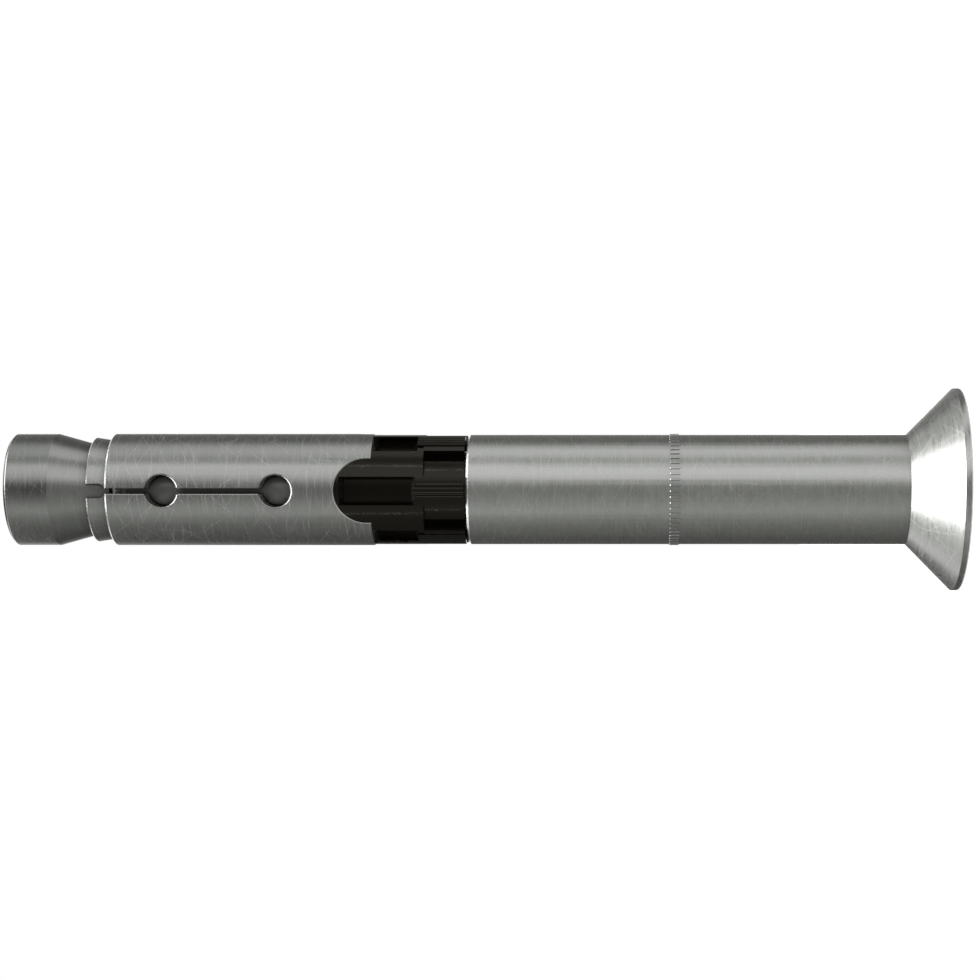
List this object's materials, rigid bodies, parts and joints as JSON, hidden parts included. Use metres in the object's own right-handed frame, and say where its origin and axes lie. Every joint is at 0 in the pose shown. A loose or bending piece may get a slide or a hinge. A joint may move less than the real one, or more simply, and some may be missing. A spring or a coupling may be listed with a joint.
{
  "type": "heavy-duty sleeve anchor",
  "caption": "Steel expansion anchor with a countersunk socket screw, conical washer, distance sleeve, black plastic collar, slotted expansion sleeve and cone nut.",
  "frame": {"origin": "the middle of the flat face that the washer and the screw's head share", "axes": "+Z along the screw, from the head to the cone nut; the first slot and tongue lie towards -Y"},
  "size_m": [0.022, 0.022, 0.1027],
  "materials": {
    "zinc_plated_steel": "turned and zinc plated, satin, with fine scratches",
    "screw_steel": "rolled and zinc plated, satin",
    "black_plastic": "moulded, half gloss"
  },
  "bodies": {
    "root": {"countersunk_washer": "zinc_plated_steel", "countersunk_screw": "screw_steel", "distance_sleeve": "zinc_plated_steel", "collapsible_collar": "black_plastic", "expansion_sleeve": "zinc_plated_steel", "cone_nut": "zinc_plated_steel"}
  },
  "joints": []
}
